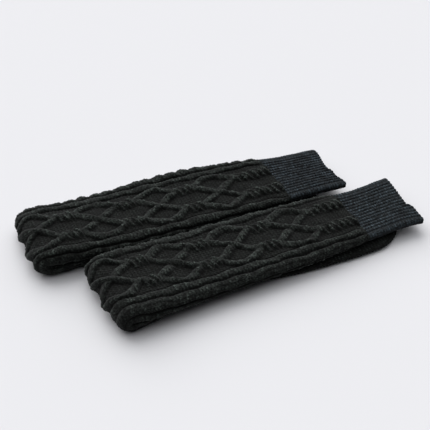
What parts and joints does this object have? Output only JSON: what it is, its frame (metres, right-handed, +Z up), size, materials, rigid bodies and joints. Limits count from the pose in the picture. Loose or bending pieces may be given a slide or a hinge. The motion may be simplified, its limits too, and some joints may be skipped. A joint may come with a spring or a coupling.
{
  "type": "pair of over-the-knee socks",
  "caption": "Charcoal cable-knit over-the-knee socks with ribbed cuffs, each folded in half and laid flat side by side",
  "frame": {"origin": "under the middle of the pair's box, on the surface it rests on", "axes": "+X along the socks towards their cuffs, +Y across towards the far sock, +Z up"},
  "size_m": [0.4042, 0.1928, 0.0314],
  "materials": {
    "cable_knit": "matt charcoal wool-blend yarn in a cable knit",
    "rib_knit": "matt charcoal wool-blend yarn in a 1x1 rib",
    "plain_knit": "matt charcoal wool-blend yarn in plain knit"
  },
  "bodies": {
    "root": {"near_leg": "cable_knit", "near_foot": "plain_knit", "near_cuff": "rib_knit", "far_leg": "cable_knit", "far_foot": "plain_knit", "far_cuff": "rib_knit"}
  },
  "joints": []
}
